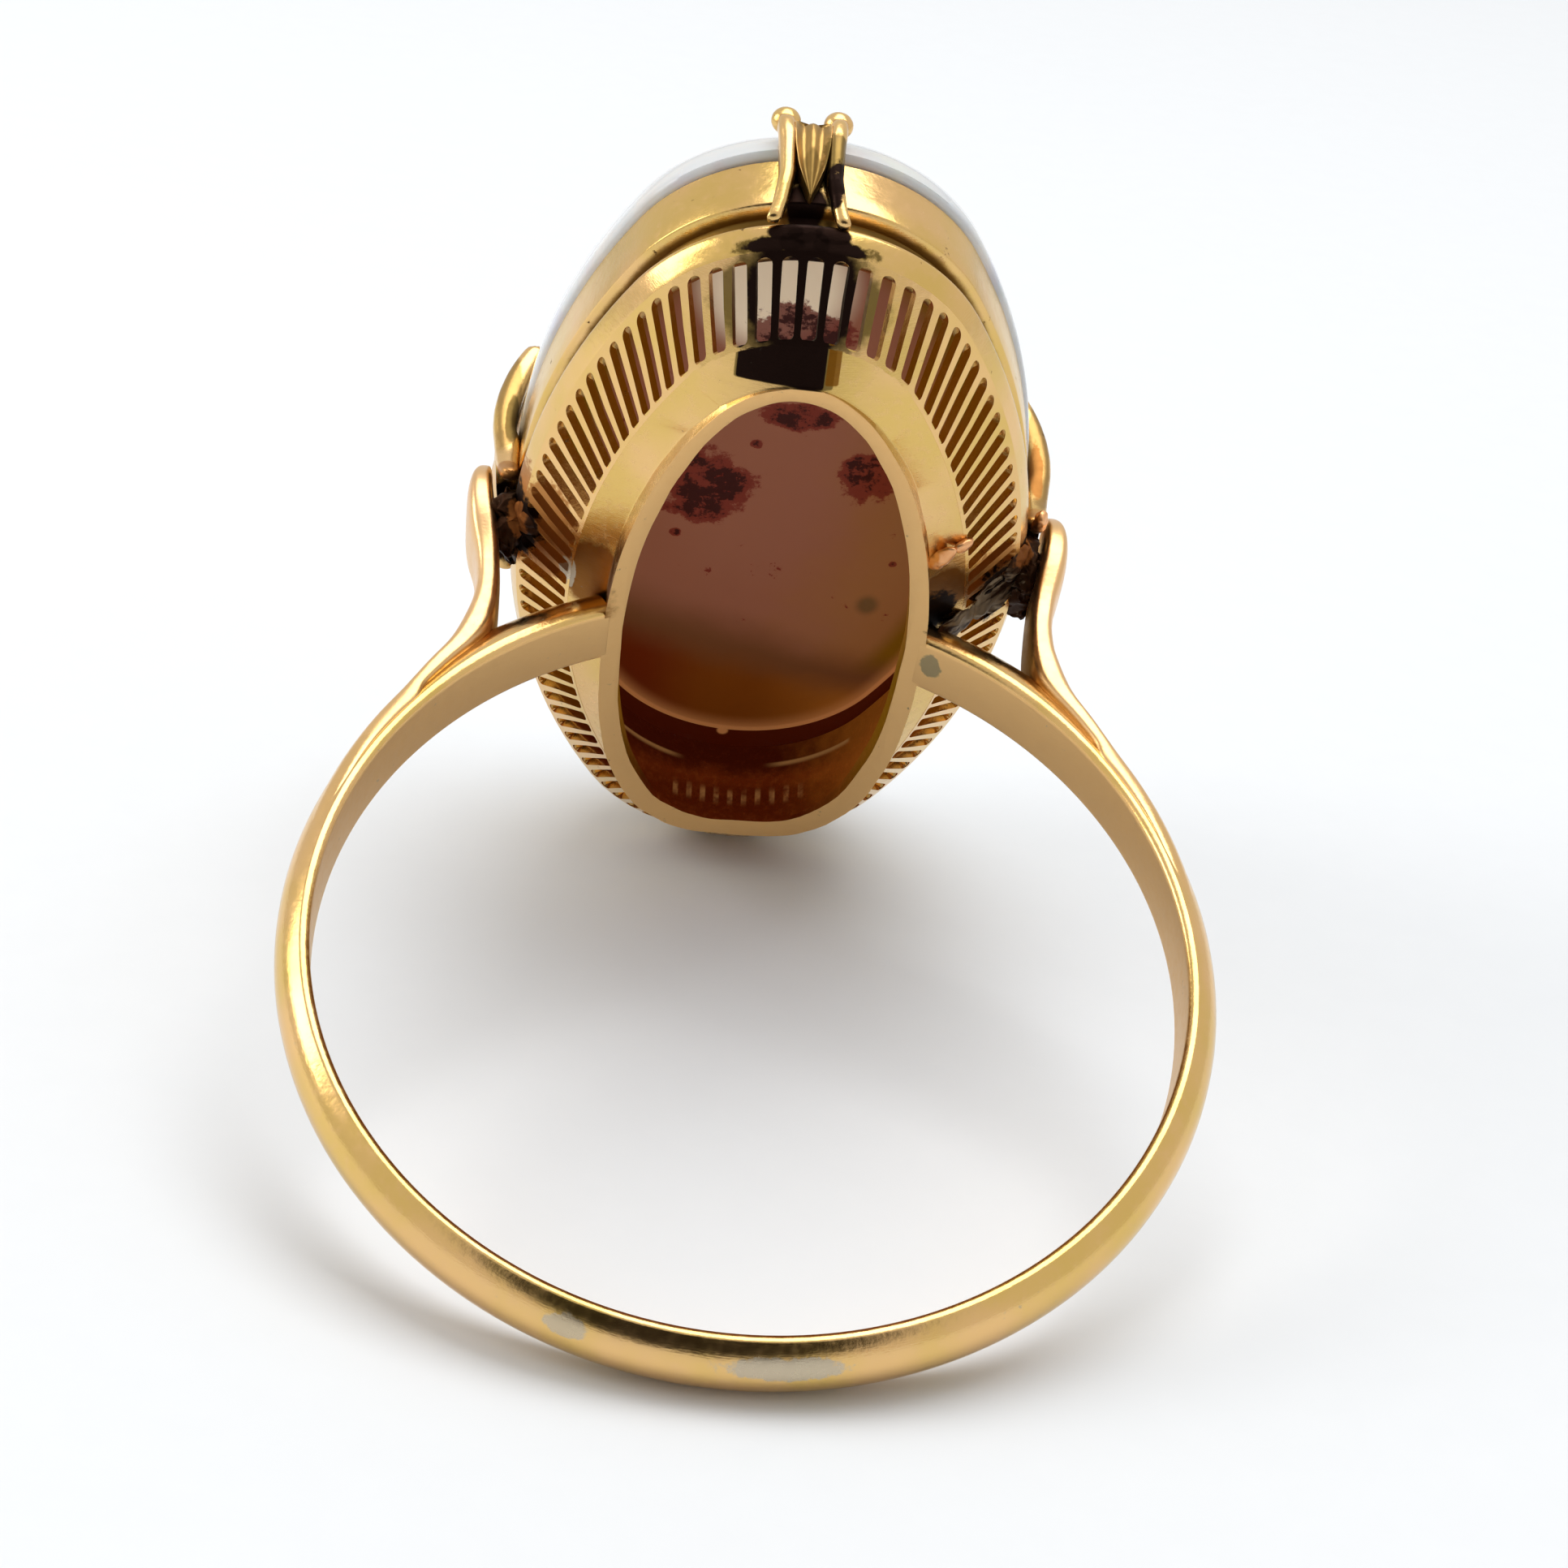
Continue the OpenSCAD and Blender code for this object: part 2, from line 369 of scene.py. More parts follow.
goldLook = {
    "tan": (0.80, 0.51, 0.215, 1),
    "olive": (0.73, 0.49, 0.15, 1),
    "rosy": (0.81, 0.51, 0.25, 1),
    "inside": (0.27, 0.095, 0.024, 1),
    # the grime and soot colours are real dirt, and also painted shade and painted dark reflection where noted
    # below
    "grimeShadeAndReflection": (0.016, 0.008, 0.006, 1),
    "sootShadeAndReflection": (0.13, 0.085, 0.020, 1),
    # colour of the painted shade in the groove under the collar
    "grooveShade": (0.12, 0.055, 0.006, 1),
    "rust": (0.40, 0.16, 0.035, 1),
    "amber": (0.23, 0.085, 0.005, 1),
    "solder": (0.27, 0.24, 0.14, 1),
    "copper": (0.84, 0.43, 0.20, 1),
    "silver": (0.52, 0.45, 0.34, 1),
    # glow, ember, line and warm are colours of painted light coming through the stone
    "glow": (0.085, 0.046, 0.001, 1),
    "ember": (0.016, 0.0020, 0.0005, 1),
    "line": (0.14, 0.065, 0.020, 1),
    "warm": (0.105, 0.030, 0.003, 1),
    "pewter": (0.32, 0.245, 0.16, 1),
    "moss": (0.40, 0.245, 0.08, 1),
}
partner = {"tan": "olive", "olive": "tan", "rosy": "tan", "inside": "inside"}
rougher = {"grimeShadeAndReflection": 0.2, "sootShadeAndReflection": 0.2, "rust": 0.2, "grooveShade": 0.2, "tan": -0.11, "other": 0.1,
           "innerFace": 0.16}   # what each stain or painted mark adds to the roughness


def makeGold(name, tint, stainsAndPaintedLight=(), rough=0.16, innerFace=False, paintedGlow=False):
    # a stain or painted mark of light or shade is (colour, shape, centre, half size, strength), upright and
    # in mm, a later one over the earlier
    sheet = Sheet(name, {"Metallic": 1.0, "Roughness": 0.2, "Emission Strength": 1.0 if paintedGlow else 0.0})
    mm = sheet.upright()
    broad = sheet.noise(mm, 0.5, 2)
    fine = sheet.noise(mm, 5.0, 4)
    scratches = sheet.noise(sheet.add("ShaderNodeMapping", {}, {
        "Vector": mm, "Rotation": (0.3, 0.2, 0.9), "Scale": (3, 40, 9)}), 1.0, 2)
    colour = sheet.blend(sheet.band(broad, 0.35, 0.7), goldLook[tint], goldLook[partner[tint]])
    colour = sheet.blend(sheet.band(fine, 0.45, 0.8) * 0.35, colour, goldLook["rosy"])
    polish = rough + sheet.band(fine, 0.35, 0.8) * 0.08 + sheet.band(scratches, 0.55, 0.8) * 0.05
    if innerFace:
        x, y, z = sheet.split(mm)
        radius = sheet.maths("SQRT", x * x + z * z)
        inner = 1 - sheet.band(radius, fingerRadius + 0.005, fingerRadius + 0.03)
        colour = sheet.blend(inner, colour, goldLook["tan"])
        polish = polish + inner * rougher["innerFace"]
    ragged = (sheet.noise(mm, 2.4, 5, 0.62) - 0.5) * 1.6
    frayed = (sheet.noise(mm, 7, 4, 0.6) - 0.5) * 1.2
    for key, shape, centre, size, strength in stainsAndPaintedLight:
        if shape == "box":
            mask = sheet.box(mm, centre, size) + ragged * 0.2
        elif shape == "streak":
            slanted = sheet.add("ShaderNodeMapping", {"vector_type": "TEXTURE"}, {
                "Vector": mm, "Rotation": (0, math.radians(-45), 0), "Scale": (0.9, 0.13, 0.13)})
            mask = sheet.spot(mm, centre, size, 0.4) * 0.5 + (sheet.noise(slanted, 1.0, 2) - 0.45) * 1.6
        else:
            edge = ragged * 0.8 + frayed if shape == "blot" else ragged * 0.35 + frayed * 0.3
            mask = sheet.spot(mm, centre, size, 0.4) + edge
        mask = sheet.band(mask, 0.3, 0.7) * strength
        colour = sheet.blend(mask, colour, goldLook[key])
        polish = polish + mask * rougher.get(key, rougher["other"])
    sheet.feed("Base Color", colour)
    sheet.feed("Roughness", polish)
    sheet.feed("Normal", sheet.bump(fine * 0.7 + scratches * 0.3 + ragged * 0.3, 0.22, 0.00003))
    if paintedGlow:
        sheet.feed("Emission Color", paintedStoneLight(sheet, mm, ragged))
    return sheet.material


def paintedStoneLight(sheet, mm, ragged):
    # painted light standing in for light that comes through the stone: amber above, red towards the low end,
    # with a painted bright ledge and slots
    x, y, z = sheet.split(mm)
    deep = sheet.blend(sheet.band(x + ragged, 1.0, 3.6), goldLook["ember"], goldLook["warm"])
    glow = sheet.blend(sheet.band(y + ragged, 2.0, 6.0), goldLook["glow"], deep)
    ledge = sheet.box(mm, (0, 9.2, 11.78), (3.6, 1.6, 0.07), 0.06)
    ledge = ledge * sheet.band(sheet.absolute(x + 0.1), 0.9, 1.5)   # hidden in the middle
    slots = sheet.band(sheet.maths("SINE", x * 19), 0.1, 0.6)
    slots = slots * sheet.box(mm, (0.2, 9.2, 10.82), (1.6, 1.6, 0.17), 0.14)
    bright = sheet.maths("MAXIMUM", ledge, slots * sheet.band(ragged, -0.3, 0.2))
    return sheet.blend(bright, glow, goldLook["line"])


bandGold = makeGold("bandGold", "olive", rough=0.18, stainsAndPaintedLight=[
    # dark band along the groove between the lip and the collar: painted shade
    ("grooveShade", "box", (0, 0, 10.83), (9, 12, 0.26), 0.9),
    ("rust", "blot", (5.45, -0.7, 10.2), (0.8, 1.3, 0.8), 0.8),
    ("rust", "blot", (-5.45, -1.0, 10.2), (0.8, 1.5, 0.8), 0.9),
    # beside the side claws: grime with painted shade in the hollow
    ("grimeShadeAndReflection", "blot", (5.55, -0.6, 10.5), (0.6, 0.95, 0.7), 1),
    ("grimeShadeAndReflection", "blot", (-5.5, -0.8, 10.4), (0.7, 1.0, 0.7), 1),
    # under the high claw: grime with painted shade and painted dark reflection
    ("sootShadeAndReflection", "blot", (-0.3, -9.3, 10.12), (1.5, 0.7, 0.2), 0.9),
    ("grimeShadeAndReflection", "pool", (-0.26, -9.6, 11.1), (0.42, 0.8, 0.6), 1),
    ("grimeShadeAndReflection", "pool", (-0.27, -9.5, 10.5), (0.36, 0.5, 0.4), 1),
    ("grimeShadeAndReflection", "pool", (-0.62, -9.35, 10.35), (0.35, 0.4, 0.17), 1),
    ("grimeShadeAndReflection", "pool", (0.3, -9.4, 10.35), (0.36, 0.4, 0.2), 1),
    ("grimeShadeAndReflection", "blot", (-0.85, -9.3, 10.12), (0.62, 0.5, 0.15), 1),
    ("grimeShadeAndReflection", "blot", (0.45, -9.4, 10.1), (0.55, 0.5, 0.16), 1),
    ("grimeShadeAndReflection", "pool", (-0.25, -9.3, 10.15), (0.5, 0.5, 0.3), 1)])
solderedPatch = ("solder", "blot", (3.55, -0.12, 7.74), (0.22, 0.34, 0.3), 0.85)   # across shank and foot
footGold = makeGold("footGold", "olive", rough=0.22, innerFace=True, stainsAndPaintedLight=[
    # dark boxes with an amber edge in the middle of the base band's high end: painted reflection of the dark
    # place where the photographer stands
    ("sootShadeAndReflection", "box", (-0.38, -7.88, 8.6), (0.97, 0.81, 0.6), 0.8),
    ("amber", "box", (0.56, -7.88, 8.6), (0.13, 0.73, 0.6), 0.9),
    ("grimeShadeAndReflection", "box", (-0.45, -7.87, 8.6), (0.86, 0.79, 0.6), 1),
    # amber at the left shank joint: painted shade and reflection of the gap
    ("amber", "pool", (-3.9, -0.95, 8.35), (0.9, 1.2, 0.7), 1),
    ("grimeShadeAndReflection", "blot", (-3.75, -0.15, 8.1), (0.3, 0.25, 0.5), 0.95),
    ("silver", "blot", (-4.16, -0.75, 8.88), (0.11, 0.42, 0.25), 0.95),
    # amber at the right shank joint: painted shade and reflection of the gap
    ("amber", "pool", (3.75, -1.5, 8.4), (0.6, 0.75, 0.7), 0.95),
    ("grimeShadeAndReflection", "blot", (3.7, -0.9, 8.3), (0.5, 0.75, 0.6), 1),
    solderedPatch])
barGold = makeGold("barGold", "tan", stainsAndPaintedLight=[
    ("rust", "blot", (-4.7, -1.3, 9.55), (0.8, 1.3, 0.8), 0.9),
    ("rust", "blot", (4.7, -1.3, 9.4), (0.8, 0.8, 0.7), 0.8),
    # beside the side claws: grime with painted shade in the hollow
    ("grimeShadeAndReflection", "blot", (-5.25, -0.9, 9.95), (0.5, 0.8, 0.5), 1),
    ("grimeShadeAndReflection", "blot", (4.95, -0.6, 9.55), (0.75, 0.75, 0.7), 1),
    ("silver", "blot", (-4.25, -0.75, 8.98), (0.2, 0.3, 0.2), 0.9),
    # dark bars under the high claw: grime with a painted dark reflection
    ("sootShadeAndReflection", "pool", (-0.25, -8.6, 9.4), (1.75, 1.4, 0.9), 0.85),
    ("grimeShadeAndReflection", "pool", (-0.2, -8.6, 9.5), (1.15, 1.4, 1.0), 1)])
shankGold = makeGold("shankGold", "tan", rough=0.17, innerFace=True, stainsAndPaintedLight=[
    ("silver", "blot", (1.0, -0.42, -9.05), (1.3, 0.24, 0.3), 0.9),
    ("silver", "blot", (-3.1, -0.44, -8.5), (0.42, 0.22, 0.3), 0.8),
    solderedPatch])
armGold = makeGold("armGold", "rosy", rough=0.28, stainsAndPaintedLight=[
    ("tan", "pool", (0, 0, 1.8), (12, 6, 3.0), 1),   # the shank's own gold low down
    # down the arms' inner faces: painted shade
    ("sootShadeAndReflection", "pool", (5.6, 0.3, 8.6), (0.16, 1.2, 1.6), 0.8),
    ("sootShadeAndReflection", "pool", (-5.6, 0.3, 8.6), (0.12, 1.2, 1.6), 0.5),
    ("rust", "pool", (5.75, 0.3, 10.7), (0.16, 1.3, 1.0), 0.8),
    ("rust", "pool", (-5.7, 0.3, 10.7), (0.16, 1.3, 1.0), 0.8),
    # where the arms meet the side claws: grime with painted shade in the hollow
    ("grimeShadeAndReflection", "blot", (5.8, 0.2, 10.9), (0.14, 1.1, 0.8), 1),
    ("grimeShadeAndReflection", "blot", (-5.75, 0.2, 10.9), (0.14, 1.1, 0.8), 1)])
clawGold = makeGold("clawGold", "tan", rough=0.2, stainsAndPaintedLight=[
    ("rust", "pool", (5.6, -1.5, 11.0), (0.5, 0.5, 0.4), 0.6),
    ("rust", "pool", (-5.6, -1.5, 11.0), (0.5, 0.5, 0.3), 0.7),
    ("moss", "pool", (5.8, -1.1, 13.0), (0.26, 0.9, 1.7), 1),
    ("rust", "blot", (5.75, -1.2, 12.6), (0.14, 0.6, 0.9), 0.8),
    ("moss", "pool", (-5.8, -1.1, 13.2), (0.26, 0.8, 1.5), 0.9),
    ("sootShadeAndReflection", "pool", (-5.68, -1.2, 12.7), (0.16, 0.6, 0.7), 0.8),
    # at the side claws' feet: grime with painted shade in the hollow
    ("grimeShadeAndReflection", "pool", (5.6, 0.1, 11.0), (0.6, 1.3, 0.7), 1),
    ("grimeShadeAndReflection", "pool", (-5.6, 0.1, 11.0), (0.6, 1.3, 0.7), 1),
    ("moss", "pool", (-0.2, -9.9, 12.2), (0.36, 0.7, 1.4), 1),
    ("sootShadeAndReflection", "pool", (-0.2, -9.9, 11.6), (0.2, 0.6, 0.6), 0.6),
    ("sootShadeAndReflection", "blot", (0.3, -9.8, 12.0), (0.3, 0.6, 0.6), 0.8),
    ("grimeShadeAndReflection", "blot", (0.32, -9.75, 11.5), (0.22, 0.5, 0.45), 1),
    ("grimeShadeAndReflection", "blot", (0.2, -9.75, 11.1), (0.25, 0.5, 0.35), 1)])
copperGold = makeGold("copperGold", "rosy", rough=0.24, stainsAndPaintedLight=[
    ("copper", "blot", (0, 0, 10), (20, 20, 20), 0.9)])
# the basket's inner walls: darker gold that glows with painted light coming through the stone
insideGold = makeGold("insideGold", "inside", rough=0.28, paintedGlow=True)
# near-black burnt solder: real dark solder, and painted shade of the hollows it fills
burntAndShadeGold = makeGold("burntAndShadeGold", "inside", rough=0.34, stainsAndPaintedLight=[
    ("grimeShadeAndReflection", "blot", (0, 0, 10.5), (9, 9, 9), 0.92),
    ("pewter", "streak", (4.5, -0.6, 9.2), (1.1, 1.0, 1.0), 0.9),
    ("inside", "blot", (5.3, -1.2, 10.2), (0.3, 0.4, 0.4), 0.9),
    ("inside", "blot", (-5.3, -1.0, 10.1), (0.3, 0.5, 0.4), 0.9)])
print("materials ready")


opalLook = {
    "milk": (0.62, 0.66, 0.70, 1),
    "cream": (0.78, 0.75, 0.71, 1),
    "giltReflectionAndShade": (0.42, 0.30, 0.13, 1),
    "mauve": (0.235, 0.084, 0.046, 1),
    "tawny": (0.245, 0.094, 0.030, 1),
    "brown": (0.16, 0.068, 0.003, 1),
    "dusk": (0.13, 0.044, 0.014, 1),
    "garnet": (0.11, 0.014, 0.002, 1),
    "orange": (0.150, 0.036, 0.003, 1),
    "honey": (0.27, 0.085, 0.010, 1),
    "red": (0.060, 0.006, 0.001, 1),
    "pale": (0.72, 0.60, 0.44, 1),
    "crumbs": (0.032, 0.004, 0.002, 1),
    "rusty": (0.13, 0.014, 0.007, 1),
    "edge": (0.50, 0.20, 0.065, 1),
    "moss": (0.095, 0.050, 0.016, 1),
    # how strongly the back glows: painted light coming through the stone
    "glow": 0.36,
    "seat": 12.44,   # height of the stone's flat ring, just above the collar
    "inclusions": [   # centre and half size of each cloud of dark crumbs
        ((-1.35, -0.25, 12.2), (0.95, 1.15, 1.2)),
        ((2.1, -1.05, 12.2), (0.75, 0.75, 1.2)),
        ((0.3, -2.7, 12.2), (0.85, 0.4, 1.2)),
        ((-1.95, 1.26, 12.2), (0.13, 0.15, 1.2)),
        ((-0.44, -1.77, 12.2), (0.14, 0.15, 1.2)),
        ((3.0, 1.74, 12.2), (0.1, 0.1, 1.2)),
        ((0.1, -5.05, 12.2), (1.1, 0.75, 1.2))],
}


def makeOpal():
    sheet = Sheet("opalMatter", {
        "IOR": 1.45, "Specular IOR Level": 0.12, "Coat IOR": 1.45, "Coat Roughness": 0.06,
        "Subsurface Weight": 0.3, "Subsurface Scale": 0.001, "Subsurface Radius": (1.0, 0.8, 0.7),
        "Emission Strength": opalLook["glow"]})
    seat = opalLook["seat"]
    mm = sheet.upright()
    x, y, z = sheet.split(mm)
    cloud = sheet.noise(mm, 0.45, 3)
    cells = sheet.add("ShaderNodeTexVoronoi", {"feature": "SMOOTH_F1"}, {"Vector": mm, "Scale": 0.9}, 1)
    front = sheet.blend(sheet.band(cloud, 0.35, 0.7), opalLook["milk"], opalLook["cream"])
    front = sheet.blend(sheet.band(sheet.noise(mm, 0.8, 2), 0.45, 0.75) * 0.2, front, cells)
    # golden band low on the stone's sides by the side claws: painted reflection of the gold, with painted
    # shade
    front = sheet.blend(sheet.box(mm, (0, 0, 12.6), (7, 2.3, 0.5), 0.3) * 0.75, front, opalLook["giltReflectionAndShade"])
    # the back: mauve, tawny to the right, brown round the rim, orange towards the low end; all of it also
    # glows as painted light coming through the stone
    wander = (cloud - 0.5) * 3
    back = sheet.blend(sheet.band(x + y * 0.2 + wander, 0.6, 3.4), opalLook["mauve"], opalLook["tawny"])
    far = sheet.far(sheet.vectors("MULTIPLY", mm, (0.2, 0.11, 0)))
    back = sheet.blend(sheet.band(far, 0.76, 0.86), back, opalLook["brown"])
    back = sheet.blend(sheet.band(y - x * 0.3 + wander * 0.3, 3.6, 5.2), back, opalLook["dusk"])
    low = sheet.blend(sheet.band(x + wander * 0.3, -2.4, -0.4), opalLook["garnet"], opalLook["orange"])
    low = sheet.blend(sheet.band(x + wander * 0.3, 0.2, 2.8), low, opalLook["honey"])
    back = sheet.blend(sheet.band(y - x * 0.3 + wander * 0.4, 5.0, 6.4), back, low)
    # pale patch towards the high end: painted light coming through the stone
    back = sheet.blend(sheet.spot(mm, (-0.5, -6.3, 12.2), (1.5, 1.7, 1.5), 0.3), back, opalLook["pale"])
    crumbs = sheet.noise(mm, 1.6, 5, 0.72)
    for centre, size in opalLook["inclusions"]:
        spot = sheet.spot(mm, centre, size, 0.5)
        back = sheet.blend(sheet.band(spot + (crumbs - 0.5) * 2.4, 0.4, 0.66) * 0.9, back, opalLook["rusty"])
        back = sheet.blend(sheet.band(spot + (crumbs - 0.5) * 3.4, 0.85, 1.1), back, opalLook["crumbs"])
    mossSpot = sheet.spot(mm, (2.61, 3.19, 12.2), (0.24, 0.3, 1.0), 0.5)
    back = sheet.blend(mossSpot * 0.8, back, opalLook["moss"])
    # the bright line along the seat, a painted highlight, with its small tooth, and the dark ring that lies
    # on the metal
    tooth = sheet.spot(mm, (-0.2, 8.5, seat), (0.13, 0.14, 0.2), 0.3)
    back = sheet.blend(sheet.band(z, seat - 0.14, seat - 0.05), back, opalLook["edge"])
    ring = sheet.band(z, seat - 0.004, seat - 0.001)
    back = sheet.blend(ring * (1 - tooth), back, opalLook["red"])
    isFront = sheet.band(z, seat + 0.002, seat + 0.008)
    sheet.feed("Base Color", sheet.blend(isFront, back, front))
    # the back glows in its own colours: painted light
    sheet.feed("Emission Color", sheet.blend(isFront, back, (0, 0, 0, 1)))
    sheet.feed("Coat Weight", isFront * 1.0)
    sheet.feed("Roughness", 0.08 + (1 - isFront) * 0.2 + sheet.band(crumbs, 0.4, 0.8) * 0.06)
    return sheet.material


opalMatter = makeOpal()

# Shank

shank = {
    "thick": 0.68, "halfWidth": 0.8,
    "end": 22.5, "steps": 210,   # degrees from straight up to each end
    "edge": [(0.035, 0.085), (0.008, 0.13), (0, 0.2)],   # rounded inner edges: rise, distance from the side
    "crownPoints": 14, "crownInset": 0.045, "crownSink": 0.002,
    "swell": 0.28, "swollen": (36, 58),   # thicker towards the head, between those degrees from straight up
}


def makeShank():
    thick, half = shank["thick"], shank["halfWidth"]
    radius = (half ** 2 + thick ** 2) / (2 * thick)   # the outside is part of a circle
    middle = fingerRadius + thick - radius
    profile = [(fingerRadius + rise, -half + inset) for rise, inset in shank["edge"]]
    profile.append((fingerRadius, 0))
    profile += [(fingerRadius + rise, half - inset) for rise, inset in reversed(shank["edge"])]
    for k in range(shank["crownPoints"] + 1):
        y = math.cos(math.pi * k / shank["crownPoints"]) * (half - shank["crownInset"])
        profile.append((middle + math.sqrt(radius ** 2 - y * y) - shank["crownSink"], y))
    start = math.radians(90 - shank["end"])
    piece = startLoop("shank", [Matrix.Rotation(-start, 4, "Y") @ Vector((r, y, 0)) for r, y in profile])
    editAll(piece)
    turn = math.radians(360 - 2 * shank["end"])
    bpy.ops.mesh.spin(steps=shank["steps"], angle=-turn, center=(0, 0, 0), axis=(0, 1, 0))
    endEdit()
    tidyMesh(piece)
    # thicker towards the head, where the outer arms are soldered on
    near, far = shank["swollen"]
    for vertex in piece.data.vertices:
        x, y, z = vertex.co
        share = clamp((far - math.degrees(math.atan2(abs(x), z))) / (far - near))
        rise = (math.hypot(x, z) - fingerRadius) / thick
        grow = 1 + shank["swell"] * rise * share * share * (3 - 2 * share) / fingerRadius
        vertex.co = (x * grow, y, z * grow)
    return piece


shankPiece = makeShank()
finishPiece(shankPiece, shankGold, "ring_mount", smoothUnder=50)

# Basket: foot, upper band with collar

basket = {
    "rim": (2.97, 3.38), "band": 4.17,   # half widths of the rim's inside and outside and of the base band
    "shorter": 0.97,   # the gallery's low edge against the oval's length
    "rimLength": (3.79, 3.72), "lowRimLength": (3.89, 4.02),   # how much longer than wide, inside and outside
    "blunt": 2.5, "worn": 0.008, "wornPatches": 1.2,
    "footBevel": (0.035, 3, 40), "upperBevel": (0.02, 2, 50),   # width, segments, sharper than these degrees
    "foot": [   # half width, height
        (2.97, 7.3), (3.38, 7.3), (3.38, 8.53), (3.41, 8.57), (4.17, 8.86), (4.24, 8.93), (4.05, 9.02),
        (3.80, 8.82), (2.97, 8.50)],
    "upper": [
        (5.26, 9.90), (5.35, 10.08), (5.44, 10.28), (5.50, 10.42), (5.51, 10.48), (5.49, 10.53),
        (5.42, 10.56), (5.17, 10.61), (5.10, 10.83), (5.17, 11.06), (5.45, 11.11), (5.50, 11.15),
        (5.51, 11.6), (5.50, 12.34), (5.44, 12.4), (5.05, 12.4), (5.05, 11.9), (4.98, 11.8),
        (4.98, 10.6), (5.0, 10.15), (5.02, 10.02)],
}


def widthAt(x, y):
    # half width of the oval of the family that runs through that place
    if math.atan2(abs(y) - endCentre, abs(x)) > sideHalf:
        return math.hypot(x, abs(y) - endCentre) - endArc(0)
    return math.hypot(abs(x) + sideCentre, y) - sideArc(0)


def reshapeFoot(piece):
    # the rim's hole is an ellipse above and blunter below; the band blends from it to the wall's oval
    low, high = basket["rim"]
    for vertex in piece.data.vertices:
        x, y, z = vertex.co
        width = widthAt(x, y)
        angle = math.atan2(abs(y), abs(x))
        power = basket["blunt"] if y > 0 else 2
        inside, outside = basket["lowRimLength"] if y > 0 else basket["rimLength"]
        length = width + inside + (outside - inside) * clamp((width - low) / (high - low))
        across, along = math.cos(angle), math.sin(angle)
        radius = (abs(across / width) ** power + abs(along / length) ** power) ** (-1 / power)
        fade = clamp((width - high) / (basket["band"] - high))
        place = Vector((math.copysign(across, x), math.copysign(along, y))) * radius
        place *= 1 + basket["worn"] * noise.noise(Vector((x, y, 0)) * basket["wornPatches"])
        wall = Vector((x, y * basket["shorter"]))
        place = place.lerp(wall, fade)
        vertex.co = (place.x, place.y, z)


def makeFoot():
    piece = sweepOval("basketFoot", basket["foot"])
    reshapeFoot(piece)
    # the finger's hollow is cut out of it
    bpy.ops.mesh.primitive_cylinder_add(vertices=256, radius=fingerRadius, depth=40,
                                        rotation=(math.radians(90), 0, 0))
    finger = bpy.context.object
    applyPlace(finger)
    addModifier(piece, "BOOLEAN", operation="DIFFERENCE", solver="EXACT", object=finger)
    bpy.data.objects.remove(finger)
    orderPoints(piece)
    tidyMesh(piece)
    bevelEdges(piece, *basket["footBevel"])
    return piece


foot = makeFoot()
finishPiece(foot, footGold, "ring_mount", smoothUnder=35, inner=insideGold)
upper = sweepOval("upperBand", basket["upper"])
bevelEdges(upper, *basket["upperBevel"])
finishPiece(upper, bandGold, "ring_mount", smoothUnder=40, inner=insideGold)

# Gallery bars: one modelled flat, then fitted round the oval

bars = {
    "perQuarter": 23, "halfBar": 0.095, "thick": 0.2,
    "low": (4.17, 8.86), "high": (5.34, 9.97), "middleWidth": 4.72,   # half widths and heights of the wall
    "slotWidth": 0.295, "wideSlot": 0.32, "wideFor": 4.5,   # the slots nearest the ends are wider
    "slotLow": 0.035, "slotHigh": 0.935, "round": 0.11,   # shares of the wall, rounding of a slot's ends
    "bevel": 0.025, "proud": 0.004, "sway": 0.12, "swayPatches": 1.5,
    "probe": (0.001, 0.01),   # small steps of angle and rise that give the wall's slope
}


def makeBar(length):
    # flat bar with half a slot at each side: x across, y 0..length up the wall, z out
    half, slot = bars["halfBar"], bars["slotWidth"] / 2
    low, high = bars["slotLow"] * length, bars["slotHigh"] * length
    arc = [math.radians(a) for a in (90, 67.5, 45, 22.5, 0)]
    right = [(half + slot, 0)]
    right += [(half + slot - slot * math.cos(a), low + bars["round"] * (1 - math.sin(a))) for a in arc]
    right += [(half, length / 2)]
    arc.reverse()
    right += [(half + slot - slot * math.cos(a), high - bars["round"] * (1 - math.sin(a))) for a in arc]
    right += [(half + slot, length)]
    outline = right + [(-x, y) for x, y in reversed(right)]
    piece = startLoop("galleryBar", [(x, y, 0) for x, y in outline])
    editAll(piece)
    bpy.ops.mesh.edge_face_add()
    bpy.ops.mesh.extrude_region_move(TRANSFORM_OT_translate={"value": (0, 0, -bars["thick"])})
    endEdit()
    tidyMesh(piece)
    # round the front edges along the slots only
    editAll(piece)
    bpy.ops.mesh.select_all(action="DESELECT")
    mesh = bmesh.from_edit_mesh(piece.data)
    hair = 0.001
    for edge in mesh.edges:
        first, second = (v.co for v in edge.verts)
        isFront = min(first.z, second.z) > -bars["thick"] / 2
        inSlot = min(abs(first.x), abs(second.x)) < half + slot - hair and abs(first.x - second.x) < slot
        insideEnds = min(first.y, second.y) > hair and max(first.y, second.y) < length - hair
        edge.select = isFront and inSlot and insideEnds
    bmesh.update_edit_mesh(piece.data)
    bpy.ops.mesh.bevel(offset=bars["bevel"], segments=2, affect="EDGES")
    endEdit()
    return piece


